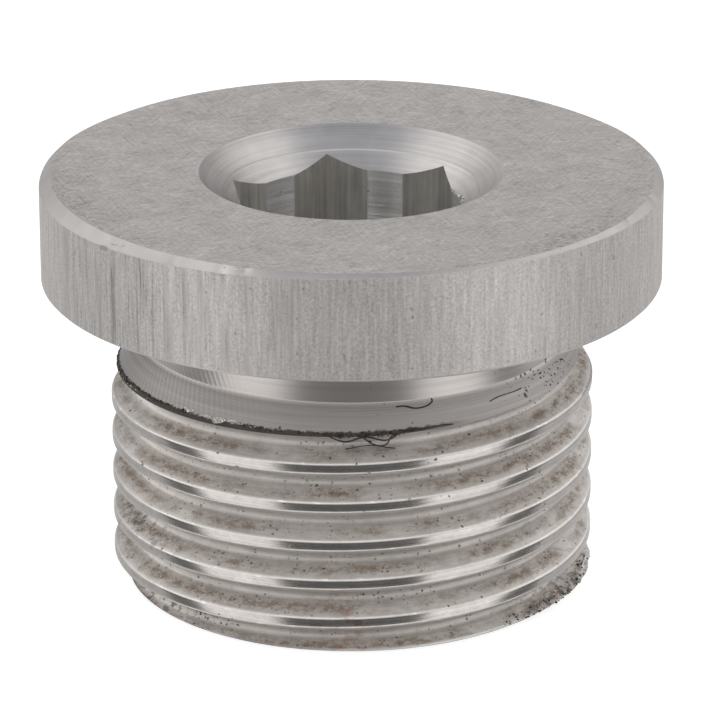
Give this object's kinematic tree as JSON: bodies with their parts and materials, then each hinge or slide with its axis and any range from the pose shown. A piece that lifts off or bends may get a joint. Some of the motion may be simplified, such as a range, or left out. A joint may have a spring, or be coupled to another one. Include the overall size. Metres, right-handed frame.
{
  "type": "hexagon socket screw plug",
  "caption": "Screw plug with a flat round collar, a fine metric thread and a countersunk hexagon socket, for closing a threaded port.",
  "frame": {"origin": "on the plug's axis in the plane of the sealing face under the collar", "axes": "+Z along the axis, out of the socket; the threaded shank hangs towards -Z"},
  "size_m": [0.023, 0.023, 0.0156],
  "materials": {
    "turned_aluminium": "as machined, dulled, with tool marks"
  },
  "bodies": {
    "root": {"screw_plug": "turned_aluminium"}
  },
  "joints": []
}
